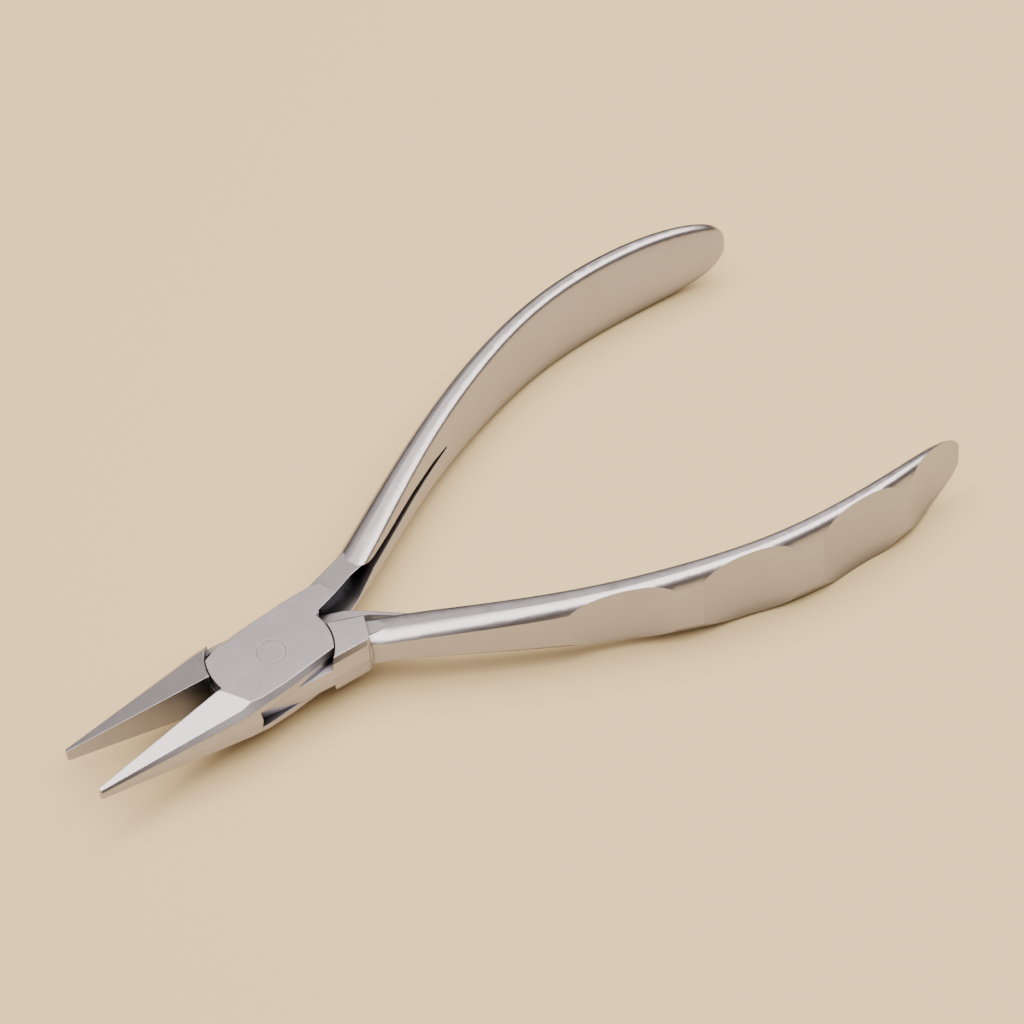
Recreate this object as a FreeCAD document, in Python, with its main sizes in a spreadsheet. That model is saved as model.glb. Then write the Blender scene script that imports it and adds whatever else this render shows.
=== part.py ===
# Box-joint flat nose pliers, modelled as a parametric FreeCAD document.
#
# Row frame: origin on the flat underside of the joint, right under the pivot. +X runs from the pivot
# towards the handles, along the line that halves the angle between them, and +Z is the pivot's axis.
# Each half is built about its pivot as it stands when the jaws are shut, with its mid-plane at z = 0,
# and its Placement then swings it open and lifts it by half the joint's thickness.
import FreeCAD, Part
import math
import os
import Sketcher
from FreeCAD import Rotation, Vector

# Driving dimensions in millimetres and degrees.
SIZES = {
    "rest_opening": 14.03,  # angle between the halves as modelled
    "joint_thick": 6.6,  # over the two cheeks
    "tongue_thick": 3.0,
    "slot_play": 0.03,  # between tongue and cheek, each side
    "tongue_radius": 9.3,
    "slot_radius": 9.5,
    "front_seam": 9.0,  # radius of the cheek's front edge
    "rear_seam": 8.55,  # radius of the cheek's rear edge
    "seam_gap": 0.2,
    "grip_gap": 0.574,  # between the grip faces when they are parallel
    "pin_radius": 2.0,
    "pin_play": 0.03,  # radial, in the tongue only
    "root_reach": 13.45,  # from the pivot to a shoulder block's rear face, square to that face
    "box_root_angle": 12.0,  # direction of the box half's block from the centreline
    "box_root_start": 1.2,  # how far the line of its inner edge passes the pivot, square to it
    "tongue_root_angle": 16.0,
    "tongue_root_start": 2.9,
    "block_overlap": 0.5,  # how far the box half's block passes its centreline, into the cheeks
    "block_reach": 5.0,  # the same for the tongue half's block
    "grind_depth": 0.4,  # off the outer side of the tongue half's handle
    "grind_clear": 4.0,  # how far outside the handle the ground strip reaches
    "scallop_radius": 32.0,
    "scallop_depth": 1.5,
    "scallop_pitch": 17.6,
    "scallop_first": 45.5,
    "scallop_count": 4,
    "reach": 60.0,  # half length of a cutting box, longer than anything it cuts
}
# Stations of the lofts, each with its place along X first.
TABLES = {
    # The nose, jaws shut, as faceted sections: the ridge's height, the roof's edge (out, up), the bevel's
    # edge (out, up) and the side's half width. The joint's roof is ground flat afterwards.
    "nose": (
        ("along", "ridge", "roof_out", "roof_up", "bevel_out", "bevel_up", "side"),
        (-30.8, 1.0, 0.78, 0.88, 1.02, 0.5, 1.08),
        (-9.3, 3.38, 4.95, 2.9, 5.85, 2.1, 6.05),
        (-6.0, 4.1, 5.0, 3.75, 6.2, 2.5, 6.45),
        (-2.0, 4.1, 5.2, 3.75, 6.35, 2.6, 6.55),
        (2.0, 4.1, 5.2, 3.75, 6.3, 2.6, 6.5),
        (6.5, 4.1, 5.2, 3.93, 6.05, 2.5, 6.3),
        (12.0, 4.1, 4.7, 3.93, 5.4, 2.5, 5.6),
        (15.0, 4.1, 3.3, 3.93, 4.0, 2.3, 4.2),
    ),
    # A handle's centreline and section: out from the centreline, thickness in the plane of the pliers,
    # width across it, squareness of the inner side, squareness of the outer side.
    "grip": (
        ("along", "out", "thick", "wide", "square_in", "square_out"),
        (11.2, 2.6, 4.3, 6.0, 5.5, 3.0),
        (13.3, 3.15, 5.0, 5.5, 5.5, 2.8),
        (14.9, 3.75, 5.1, 5.2, 6.0, 2.7),
        (17.5, 4.8, 5.1, 5.4, 6.5, 2.6),
        (26.3, 8.65, 4.9, 6.7, 6.5, 2.5),
        (40.3, 14.5, 4.4, 9.1, 6.5, 2.4),
        (54.3, 18.8, 4.1, 11.6, 6.0, 2.4),
        (68.3, 21.0, 3.8, 13.3, 5.5, 2.3),
        (82.3, 20.2, 3.7, 13.7, 4.6, 2.3),
        (91.0, 18.3, 3.4, 12.7, 3.6, 2.3),
        (96.2, 16.7, 2.9, 10.6, 3.0, 2.3),
        (99.2, 15.75, 2.2, 7.4, 2.6, 2.2),
        (100.5, 15.3, 1.3, 3.6, 2.2, 2.2),
    ),
    # The slot behind the joint, which narrows to a saw cut along the handle's inner side: where it opens,
    # its upper lip, its throat and its floor along Y, then the lip's height and half the slot's width.
    "slot": (
        ("along", "open", "lip", "throat", "floor", "lip_up", "half"),
        (6.0, -1.0, 0.6, 2.2, 5.3, 1.53, 1.53),
        (8.9, -1.0, 0.6, 2.2, 5.3, 1.53, 1.53),
        (9.3, -1.0, 0.9, 2.2, 5.2, 3.4, 1.53),
        (12.5, -1.0, 1.5, 2.8, 4.6, 3.4, 1.53),
        (17.0, 0.0, 2.5, 4.0, 5.1, 3.4, 1.53),
        (21.5, 1.5, 4.2, 5.3, 6.3, 1.9, 0.23),
        (26.3, 3.6, 6.2, 7.0, 8.0, 1.5, 0.23),
        (33.0, 6.4, 9.1, 9.9, 10.7, 1.3, 0.23),
        (40.3, 9.3, 12.0, 12.6, 13.4, 1.0, 0.23),
        (44.0, 10.5, 13.3, 13.6, 14.3, 0.4, 0.23),
    ),
    # The tongue's root, which joins the tongue to its block and handle and is swollen above: its low side,
    # the swelling's shoulder and edge and its far side along Y, then the swelling's height and half the
    # tongue's thickness.
    "web": (
        ("along", "low", "shoulder", "edge", "far", "shoulder_up", "half"),
        (6.0, -4.0, -1.0, 2.0, 4.3, 1.48, 1.48),
        (9.0, -4.0, -1.0, 2.0, 3.7, 1.48, 1.48),
        (9.9, -4.0, -0.6, 1.8, 3.4, 3.0, 1.48),
        (12.4, -4.0, -1.3, 1.2, 2.7, 3.0, 1.48),
        (15.1, -4.0, -2.1, 0.4, 1.3, 2.6, 1.3),
        (22.0, -5.0, -4.6, -3.6, -3.2, 0.9, 0.8),
    ),
    # The slope from the box half's cheeks down to its handle: its two sides along Y and half its height.
    "slope": (
        ("along", "low", "high", "half"),
        (11.5, 1.2, 5.2, 3.3),
        (19.0, 3.3, 7.0, 2.72),
    ),
}
SECTION_POINTS = 32  # round a handle's section

doc = FreeCAD.newDocument("flat_nose_pliers")
sheet = doc.addObject("Spreadsheet::Sheet", "Dimensions")


def fill_sheet():
    """One row per dimension: its name, its value and the alias that formulas use."""
    cells = dict(SIZES)
    for title, (columns, *rows) in TABLES.items():
        for number, values in enumerate(rows):
            for column, value in zip(columns, values):
                cells[f"{title}_{column}_no{number}"] = value
    for row, (alias, value) in enumerate(cells.items(), start=1):
        sheet.set(f"A{row}", alias)
        sheet.set(f"B{row}", str(value))
        sheet.setAlias(f"B{row}", alias)
    doc.recompute()


def cell(alias):
    return float(sheet.get(alias))


def stations(title):
    """The stations of a loft, read back from the sheet."""
    columns, *rows = TABLES[title]
    return [tuple(cell(f"{title}_{column}_no{n}") for column in columns) for n in range(len(rows))]


def bind(obj, **formulas):
    """Binds properties of an object to formulas over the sheet's aliases."""
    for name, formula in formulas.items():
        obj.setExpression(name.replace("__", "."), formula)
    return obj


def rounded_section(centre, outward, half_across, half_height, square_out, square_in):
    """A closed smooth section standing on its edge: a superellipse, squarer on one side.

    Every section has the same knots, so that a loft through sections stays smooth.
    """
    points = []
    for i in range(SECTION_POINTS):
        angle = 2 * math.pi * i / SECTION_POINTS
        across, up = math.cos(angle), math.sin(angle)
        square = square_out if across > 0 else square_in
        reach = (abs(across) ** square + abs(up) ** square) ** (-1 / square)
        rise = Vector(0, 0, half_height * reach * up)
        points.append(centre + outward * (half_across * reach * across) + rise)
    knots = [i / SECTION_POINTS for i in range(SECTION_POINTS + 1)]
    curve = Part.BSplineCurve()
    curve.interpolate(Points=points, Parameters=knots, PeriodicFlag=True)
    return Part.Wire([curve.toShape(i / 4, (i + 1) / 4) for i in range(4)])


def feature(name, shape):
    obj = doc.addObject("Part::Feature", name)
    obj.Shape = shape
    return obj


def straight_loft(name, sections):
    """A straight-sided body through upright outlines: each has its place along X and points of Y and Z."""
    wires = []
    for along, outline in sections:
        wires.append(Part.makePolygon([Vector(along, y, z) for y, z in outline + outline[:1]]))
    return feature(name, Part.makeLoft(wires, True, True))


def mirrored(profile):
    """An outline from its upper half, which is the same below."""
    return profile + [(y, -z) for y, z in reversed(profile) if z]


def nose_form():
    """Both jaws and the joint as one faceted body, before it is parted and its cheeks are ground flat."""
    sections = []
    for along, ridge, roof_out, roof_up, bevel_out, bevel_up, side in stations("nose"):
        right = [(roof_out, roof_up), (bevel_out, bevel_up), (side, 0)]
        left = [(-y, z) for y, z in reversed(right)]
        sections.append((along, mirrored(left + [(0, ridge)] + right)))
    return straight_loft("nose_form", sections)


def handle_line(rows):
    """The handle's centreline as a curve in the plane of the pliers."""
    curve = Part.BSplineCurve()
    curve.interpolate([Vector(r[0], r[1], 0) for r in rows])
    return curve


def handle_form(name, side):
    """A handle that leans out to +Y (side 1) or -Y (side -1)."""
    rows = stations("grip")
    line = handle_line(rows)
    wires = []
    for along, out, thick, wide, square_in, square_out in rows:
        tangent = line.tangent(line.parameter(Vector(along, out, 0)))[0]
        outward = Vector(-tangent.y, side * tangent.x, 0)
        centre = Vector(along, side * out, 0)
        wires.append(rounded_section(centre, outward, thick / 2, wide / 2, square_out, square_in))
    return feature(name, Part.makeLoft(wires, True, False))


def box(name, length, width, height, x, y, z, turn="0"):
    """A block whose sizes and corner follow the sheet; turn is its angle about Z."""
    obj = doc.addObject("Part::Box", name)
    bind(obj, Length=length, Width=width, Height=height)
    bind(obj, Placement__Base__x=x, Placement__Base__y=y, Placement__Base__z=z)
    if turn != "0":
        obj.Placement.Rotation = Rotation(Vector(0, 0, 1), 1)
        bind(obj, Placement__Rotation__Angle=turn)
    return obj


def cylinder(name, radius, height, start="0", sweep="360"):
    """A disc about the pivot, half above and half below the mid-plane; start turns it about Z."""
    obj = doc.addObject("Part::Cylinder", name)
    bind(obj, Radius=radius, Height=height, Angle=sweep)
    bind(obj, Placement__Base__z=f"-({height}) / 2")
    if start != "0":
        obj.Placement.Rotation = Rotation(Vector(0, 0, 1), 1)
        bind(obj, Placement__Rotation__Angle=start)
    return obj


def boolean(kind, name, first, *others):
    """Part::Cut, Part::MultiFuse or Part::MultiCommon of earlier objects."""
    obj = doc.addObject(f"Part::{kind}", name)
    if kind == "Cut":
        obj.Base = first
        obj.Tool = others[0]
    else:
        obj.Shapes = [first, *others]
        obj.Refine = True
    return obj


def stepped(name, title):
    """The slot or the tongue's root: flat below, and above it slopes between two heights."""
    sections = []
    for along, near, shoulder, edge, far, shoulder_up, half in stations(title):
        upper = [(far, half), (edge, half), (shoulder, shoulder_up), (near, shoulder_up)]
        sections.append((along, [(near, -half), (far, -half)] + upper))
    return straight_loft(name, sections)


def slope(name):
    """The slope from the cheeks down to the handle."""
    sections = []
    for along, low, high, half in stations("slope"):
        sections.append((along, mirrored([(low, half), (high, half)])))
    return straight_loft(name, sections)


def outer_grind(name):
    """What is ground off the outer side of the tongue half's handle, following its bow."""
    rows = stations("grip")
    line = handle_line(rows)
    depth = cell("grind_depth")
    near, far = [], []
    for along, out, thick, *_ in rows[1:]:
        tangent = line.tangent(line.parameter(Vector(along, out, 0)))[0]
        outward = Vector(-tangent.y, -tangent.x, 0)
        surface = Vector(along, -out, 0) + outward * (thick / 2)
        near.append(surface - outward * depth)
        far.append(surface + outward * cell("grind_clear"))
    curve = Part.BSplineCurve()
    curve.interpolate(near)
    chain = Part.makePolygon([near[0], *far, near[-1]])
    wire = Part.Wire(Part.__sortEdges__([curve.toShape(), *chain.Edges]))
    height = cell("reach")
    strip = Part.Face(wire).extrude(Vector(0, 0, height))
    strip.translate(Vector(0, 0, -height / 2))
    return feature(name, strip)


def scallops(name):
    """Shallow finger rests across the outer side of the tongue half's handle."""
    rows = stations("grip")
    line = handle_line(rows)
    radius = cell("scallop_radius")
    height = cell("reach")
    cutters = []
    for i in range(int(cell("scallop_count"))):
        along = cell("scallop_first") + cell("scallop_pitch") * i
        upright = Part.Line(Vector(along, 0, 0), Vector(along, 1, 0))
        seat = line.intersectCC(upright)[0]
        point = Vector(seat.X, seat.Y, 0)
        tangent = line.tangent(line.parameter(point))[0]
        outward = Vector(-tangent.y, tangent.x, 0)
        middle = point + outward * (thickness_at(rows, along) / 2 + radius - cell("scallop_depth"))
        cutters.append(Part.makeCylinder(radius, height, Vector(middle.x, -middle.y, -height / 2)))
    return feature(name, cutters[0].multiFuse(cutters[1:]))


def thickness_at(rows, along):
    """The handle's thickness between two stations."""
    for near, far in zip(rows, rows[1:]):
        if near[0] <= along <= far[0]:
            return near[2] + (far[2] - near[2]) * (along - near[0]) / (far[0] - near[0])
    raise ValueError(f"no handle at {along}")


def box_half(nose, slab):
    """One jaw, the two cheeks with the slot between them, and the plain handle."""
    deep = "2 * Dimensions.reach"
    full = "Dimensions.reach"
    jaw_side = box("box_jaw_side", full, full, deep, "-Dimensions.reach",
                   "-Dimensions.reach - Dimensions.grip_gap / 2", "-Dimensions.reach")
    front = cylinder("box_front_edge", "Dimensions.front_seam", full, start="90", sweep="180")
    rear = cylinder("box_rear_edge", "Dimensions.rear_seam", full, start="-90", sweep="180")
    block = box("box_block", "Dimensions.root_reach", full, deep,
                "Dimensions.box_root_start * sin(Dimensions.box_root_angle)",
                "-Dimensions.box_root_start * cos(Dimensions.box_root_angle)",
                "-Dimensions.reach", turn="Dimensions.box_root_angle")
    behind = box("box_behind", full, full, deep, "0", "-Dimensions.block_overlap", "-Dimensions.reach")
    root = boolean("MultiCommon", "box_root", block, behind)
    plan = boolean("MultiFuse", "box_plan", jaw_side, front, rear, root)
    body = boolean("MultiCommon", "box_body", nose, slab, plan)
    handle = handle_form("box_handle_form", 1)
    whole = boolean("MultiFuse", "box_whole", body, slope("box_slope"), handle)
    slot = cylinder("box_slot", "Dimensions.slot_radius",
                    "Dimensions.tongue_thick + 2 * Dimensions.slot_play")
    bore = cylinder("box_bore", "Dimensions.pin_radius", full)
    cuts = boolean("MultiFuse", "box_cuts", slot, stepped("box_root_slot", "slot"), bore)
    return boolean("Cut", "box_half", whole, cuts)


def tongue_half(nose, slab):
    """The other jaw, the tongue that passes through the slot, and the scalloped handle."""
    deep = "2 * Dimensions.reach"
    full = "Dimensions.reach"
    jaw_side = box("tongue_jaw_side", full, full, deep, "-Dimensions.reach", "Dimensions.grip_gap / 2",
                   "-Dimensions.reach")
    front = cylinder("tongue_front_edge", "Dimensions.front_seam + Dimensions.seam_gap", full)
    jaw_plan = boolean("Cut", "tongue_jaw_plan", jaw_side, front)
    jaw = boolean("MultiCommon", "tongue_jaw", nose, slab, jaw_plan)
    block_plan = box("tongue_block_plan", "Dimensions.root_reach", full, deep,
                     "(Dimensions.tongue_root_start - Dimensions.reach) * sin(Dimensions.tongue_root_angle)",
                     "(Dimensions.tongue_root_start - Dimensions.reach) * cos(Dimensions.tongue_root_angle)",
                     "-Dimensions.reach", turn="-Dimensions.tongue_root_angle")
    rear = cylinder("tongue_rear_edge", "Dimensions.rear_seam + Dimensions.seam_gap", full)
    block_edge = boolean("Cut", "tongue_block_edge", block_plan, rear)
    behind = box("tongue_behind", full, full, deep, "0", "Dimensions.block_reach - Dimensions.reach",
                 "-Dimensions.reach")
    block = boolean("MultiCommon", "tongue_block", nose, slab, block_edge, behind)
    disc = cylinder("tongue_disc", "Dimensions.tongue_radius", "Dimensions.tongue_thick")
    tongue = boolean("MultiCommon", "tongue_plate", nose, disc)
    handle = handle_form("tongue_handle_form", -1)
    whole = boolean("MultiFuse", "tongue_whole", jaw, tongue, block, stepped("tongue_root", "web"), handle)
    bore = cylinder("tongue_bore", "Dimensions.pin_radius + Dimensions.pin_play", full)
    ground = boolean("MultiFuse", "tongue_ground", outer_grind("tongue_grind"), scallops("tongue_scallops"))
    cuts = boolean("MultiFuse", "tongue_cuts", bore, ground)
    return boolean("Cut", "tongue_half", whole, cuts)


def pivot_pin():
    """The rivet, ground flush with both cheeks: a body padded from a circle."""
    body = doc.addObject("PartDesign::Body", "pivot_pin")
    sketch = body.newObject("Sketcher::SketchObject", "pin_circle")
    plane = next(o for o in body.Origin.OriginFeatures if o.Role == "XY_Plane")
    sketch.AttachmentSupport = [(plane, "")]
    sketch.MapMode = "FlatFace"
    sketch.addGeometry(Part.Circle(Vector(0, 0, 0), Vector(0, 0, 1), 1))
    sketch.addConstraint(Sketcher.Constraint("Coincident", 0, 3, -1, 1))
    sketch.addConstraint(Sketcher.Constraint("Radius", 0, 1.0))
    sketch.setExpression("Constraints[1]", "Dimensions.pin_radius")
    pad = body.newObject("PartDesign::Pad", "pin_length")
    pad.Profile = sketch
    pad.setExpression("Length", "Dimensions.joint_thick")
    return body


def check(parts):
    """Stops before anything is written if an object failed or a part is not one valid solid."""
    for obj in doc.Objects:
        if {"Invalid", "Error"} & set(obj.State):
            raise RuntimeError(f"{obj.Name} failed: {obj.State}")
    for part in parts:
        if part.Shape.isNull() or not part.Shape.isValid():
            raise RuntimeError(f"{part.Name} is not a valid shape")
        if len(part.Shape.Solids) != 1:
            raise RuntimeError(f"{part.Name} has {len(part.Shape.Solids)} solids")


fill_sheet()
nose = nose_form()
slab = box("ground_slab", "2 * Dimensions.reach", "2 * Dimensions.reach", "Dimensions.joint_thick",
           "-Dimensions.reach", "-Dimensions.reach", "-Dimensions.joint_thick / 2")
halves = [(box_half(nose, slab), 1), (tongue_half(nose, slab), -1)]
pin = pivot_pin()
for half, side in halves:
    half.Placement.Rotation = Rotation(Vector(0, 0, 1), side)
    half.setExpression("Placement.Rotation.Angle", f"{side} * Dimensions.rest_opening / 2")
    half.setExpression("Placement.Base.z", "Dimensions.joint_thick / 2")
doc.recompute()
parts = [half for half, _ in halves] + [pin]
check(parts)
os.makedirs("parts", exist_ok=True)
for part in parts:
    part.Label = part.Name
    part.Shape.exportStep(f"parts/{part.Label}.step")
    print(part.Label, "volume", round(part.Shape.Volume, 1), "box", part.Shape.BoundBox)
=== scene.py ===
import math

import bpy
from mathutils import Matrix, Vector


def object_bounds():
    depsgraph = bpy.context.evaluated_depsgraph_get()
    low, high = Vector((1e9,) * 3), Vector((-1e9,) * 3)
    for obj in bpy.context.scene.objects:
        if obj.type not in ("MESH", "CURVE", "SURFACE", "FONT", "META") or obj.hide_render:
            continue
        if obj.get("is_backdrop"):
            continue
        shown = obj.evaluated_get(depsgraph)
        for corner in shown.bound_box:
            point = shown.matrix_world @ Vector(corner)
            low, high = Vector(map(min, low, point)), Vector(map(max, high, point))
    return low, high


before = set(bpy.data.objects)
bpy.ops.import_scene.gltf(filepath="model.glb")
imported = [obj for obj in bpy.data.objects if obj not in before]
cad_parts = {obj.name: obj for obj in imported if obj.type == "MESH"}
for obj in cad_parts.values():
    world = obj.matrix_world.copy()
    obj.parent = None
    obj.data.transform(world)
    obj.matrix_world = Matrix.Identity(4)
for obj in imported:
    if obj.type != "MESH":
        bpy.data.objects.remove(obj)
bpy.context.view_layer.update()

MM = 0.001

# The camera: its turn about Z, height and roll in degrees, its distance and target in metres, its lens in
# millimetres.
CAMERA_TURN, CAMERA_HEIGHT, CAMERA_ROLL = -31.854, 47.541, -4.958
CAMERA_DISTANCE, CAMERA_LENS, SENSOR = 0.6193, 155.5, 36.0
CAMERA_TARGET = Vector((0.04206, 0.00285, 0.0033))

# The soft box overhead: its place and the point below it in metres, its size, watts and colour.
BOX_PLACE, BOX_AIM = (0.2, -0.05, 0.62), (0.2, -0.05, 0.0)
BOX_SIZE, BOX_WATTS, BOX_COLOUR = (1.1, 0.78), 16.3, (1.0, 0.89, 0.67)
# The room's colour at its horizon and its ceiling, each with the height where it starts or is reached.
HORIZON, HORIZON_COLOUR = 0.30, (0.085, 0.07, 0.058)
CEILING, CEILING_COLOUR = 0.60, (0.73, 0.60, 0.485)

FLOOR_SIZE = 6.0
FLOOR_COLOUR = (0.615, 0.49, 0.315)
FLOOR_ROUGHNESS, FLOOR_SPECULAR = 0.95, 0.1

# Steel: its colour between two tones, its roughness, and painted shade that darkens its colour in corners.
DARK, LIGHT = (0.395, 0.40, 0.505), (0.44, 0.445, 0.555)
ROUGHNESS, ROUGHNESS_SPREAD = 0.3, 0.2
# The colour of the painted shade laid into corners and slots.
CORNER_SHADE = (0.07, 0.07, 0.085)
SHADE_FULL, SHADE_NONE = 0.3, 0.95  # how open a corner is where the painted shade is full, and where there is none
EDGE_ROUND = 0.16 * MM
# How far the painted shade looks for nearby surfaces, the floor among them.
CREVICE = 4.0 * MM
# Its texture: scales in cycles per metre, how much lines and clouds count, and the relief.
LINES, CLOUDS, WAVES = 5200, 220, 60
LINES_SHARE, CLOUDS_SHARE, WAVES_SHARE = 0.55, 0.45, 4.0
RELIEF, RELIEF_DEPTH = 0.028, 0.05 * MM
BOX_TURN, TONGUE_TURN = 30.0, -30.0  # direction of the grinding lines on each half, in degrees


def place_camera():
    """Looks at the target from the given turn and height, rolled about its own axis."""
    turn, height, roll = (math.radians(a) for a in (CAMERA_TURN, CAMERA_HEIGHT, CAMERA_ROLL))
    back = Vector((math.sin(turn) * math.cos(height), -math.cos(turn) * math.cos(height), math.sin(height)))
    right = (-back).cross(Vector((0, 0, 1))).normalized()
    up = right.cross(-back)
    across = math.cos(roll) * right + math.sin(roll) * up
    upward = -math.sin(roll) * right + math.cos(roll) * up
    data = bpy.data.cameras.new("camera")
    data.lens, data.sensor_width = CAMERA_LENS, SENSOR
    camera = bpy.data.objects.new("camera", data)
    camera.matrix_world = Matrix.Translation(CAMERA_TARGET + back * CAMERA_DISTANCE) @ Matrix(
        (across, upward, back)
    ).transposed().to_4x4()
    bpy.context.collection.objects.link(camera)
    bpy.context.scene.camera = camera


def overhead_box():
    """One large rectangular light above the object, facing down."""
    data = bpy.data.lights.new("overhead", "AREA")
    data.shape, data.size, data.size_y = "RECTANGLE", *BOX_SIZE
    data.energy, data.color = BOX_WATTS, BOX_COLOUR
    lamp = bpy.data.objects.new("overhead", data)
    lamp.location = BOX_PLACE
    lamp.rotation_euler = (Vector(BOX_AIM) - Vector(BOX_PLACE)).to_track_quat("-Z", "Y").to_euler()
    bpy.context.collection.objects.link(lamp)


def room():
    """Surroundings whose horizon is darker than their ceiling."""
    world = bpy.data.worlds.new("room")
    world.use_nodes = True
    nodes, links = world.node_tree.nodes, world.node_tree.links
    where = nodes.new("ShaderNodeTexCoord")
    split = nodes.new("ShaderNodeSeparateXYZ")
    links.new(where.outputs["Generated"], split.inputs["Vector"])
    ramp = nodes.new("ShaderNodeValToRGB")
    links.new(split.outputs["Z"], ramp.inputs["Fac"])
    low, high = ramp.color_ramp.elements
    low.position, low.color = HORIZON, (*HORIZON_COLOUR, 1)
    high.position, high.color = CEILING, (*CEILING_COLOUR, 1)
    links.new(ramp.outputs["Color"], nodes["Background"].inputs["Color"])
    bpy.context.scene.world = world


def floor():
    """A plain pale sheet under the object's lowest point."""
    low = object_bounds()[0][2]
    bpy.ops.mesh.primitive_plane_add(size=FLOOR_SIZE, location=(0, 0, low))
    plane = bpy.context.object
    plane.name = "floor"
    material = bpy.data.materials.new("floor_paper")
    material.use_nodes = True
    shader = material.node_tree.nodes["Principled BSDF"]
    shader.inputs["Base Color"].default_value = (*FLOOR_COLOUR, 1)
    shader.inputs["Roughness"].default_value = FLOOR_ROUGHNESS
    shader.inputs["Specular IOR Level"].default_value = FLOOR_SPECULAR
    plane.data.materials.append(material)
    plane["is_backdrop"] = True


class Steel:
    """A steel finish built up in nodes: its colour, roughness and surface follow the same texture."""

    def __init__(self, name):
        self.material = bpy.data.materials.new(name)
        self.material.use_nodes = True
        self.nodes = self.material.node_tree.nodes
        self.links = self.material.node_tree.links
        self.shader = self.nodes["Principled BSDF"]
        self.shader.inputs["Metallic"].default_value = 1.0
        self.place = self.nodes.new("ShaderNodeTexCoord").outputs["Object"]

    def add(self, kind, **values):
        """A node with its sockets set: a value, a colour or another node's output."""
        node = self.nodes.new(kind)
        for name, value in values.items():
            socket = node.inputs[name.replace("_", " ")]
            if isinstance(value, bpy.types.NodeSocket):
                self.links.new(value, socket)
            else:
                socket.default_value = value
        return node

    def noise(self, scale, stretch=(1, 1, 1), turn=0.0, detail=3.0):
        """Noise over the object in cycles per metre, stretched along turned axes."""
        mapping = self.add("ShaderNodeMapping", Vector=self.place)
        mapping.inputs["Rotation"].default_value = (0, 0, math.radians(turn))
        mapping.inputs["Scale"].default_value = stretch
        place = mapping.outputs["Vector"]
        return self.add("ShaderNodeTexNoise", Vector=place, Scale=scale, Detail=detail).outputs["Fac"]

    def scaled(self, value, factor, plus=0.0):
        """A value times a factor, plus a number or another value."""
        node = self.nodes.new("ShaderNodeMath")
        node.operation = "MULTIPLY_ADD"
        self.links.new(value, node.inputs[0])
        node.inputs[1].default_value = factor
        if isinstance(plus, bpy.types.NodeSocket):
            self.links.new(plus, node.inputs[2])
        else:
            node.inputs[2].default_value = plus
        return node.outputs["Value"]

    def ramp(self, value, low, high, start, end):
        """A value turned into a colour between two."""
        node = self.add("ShaderNodeValToRGB", Fac=value)
        first, last = node.color_ramp.elements
        first.position, first.color = start, (*low, 1)
        last.position, last.color = end, (*high, 1)
        return node.outputs["Color"]

    def span(self, value, low, high):
        """A value from 0 to 1 turned into one between two limits."""
        node = self.add("ShaderNodeMapRange", Value=value)
        node.inputs["To Min"].default_value, node.inputs["To Max"].default_value = low, high
        return node.outputs["Result"]

    def darken_corners(self, colour, shade_colour):
        """The colour with painted shade: darkened where two surfaces meet or a slot is narrow, and near the
        floor.
        """
        corner = self.add("ShaderNodeAmbientOcclusion", Distance=CREVICE)
        amount = self.add("ShaderNodeMapRange", Value=corner.outputs["AO"])
        limits = {"From Min": SHADE_FULL, "From Max": SHADE_NONE, "To Min": 1.0, "To Max": 0.0}
        for name, value in limits.items():
            amount.inputs[name].default_value = value
        mix = self.add("ShaderNodeMixRGB", Fac=amount.outputs["Result"], Color1=colour, Color2=(*shade_colour, 1))
        return mix.outputs["Color"]

    def bump(self, value, strength, distance):
        """Surface relief, over edges that a polishing wheel has rounded a little."""
        edges = self.add("ShaderNodeBevel", Radius=EDGE_ROUND).outputs["Normal"]
        node = self.add("ShaderNodeBump", Height=value, Strength=strength, Distance=distance, Normal=edges)
        self.links.new(node.outputs["Normal"], self.shader.inputs["Normal"])


def ground_steel(name, turn):
    """Steel drawn over a fine belt: faint lines along the piece, slight waves and clouded polish."""
    steel = Steel(name)
    lines = steel.noise(LINES, (0.05, 1.0, 1.0), turn)
    clouds = steel.noise(CLOUDS, detail=4.0)
    waves = steel.noise(WAVES, (0.4, 1.0, 1.0), turn, detail=1.0)
    texture = steel.scaled(lines, LINES_SHARE, steel.scaled(clouds, CLOUDS_SHARE))
    # The base colour carries painted shade, darkest in corners, slots and beside the floor.
    colour = steel.darken_corners(steel.ramp(texture, DARK, LIGHT, 0.3, 0.7), CORNER_SHADE)
    roughness = steel.span(texture, ROUGHNESS * (1 - ROUGHNESS_SPREAD), ROUGHNESS * (1 + ROUGHNESS_SPREAD))
    steel.links.new(colour, steel.shader.inputs["Base Color"])
    steel.links.new(roughness, steel.shader.inputs["Roughness"])
    steel.bump(steel.scaled(waves, WAVES_SHARE, lines), RELIEF, RELIEF_DEPTH)
    return steel.material


place_camera()
overhead_box()
room()
floor()
finishes = {
    "box_half": ground_steel("box_half_steel", BOX_TURN),
    "tongue_half": ground_steel("tongue_half_steel", TONGUE_TURN),
    "pivot_pin": ground_steel("pin_steel", BOX_TURN),
}
for name, finish in finishes.items():
    for slot in bpy.data.objects[name].material_slots:
        slot.material = finish
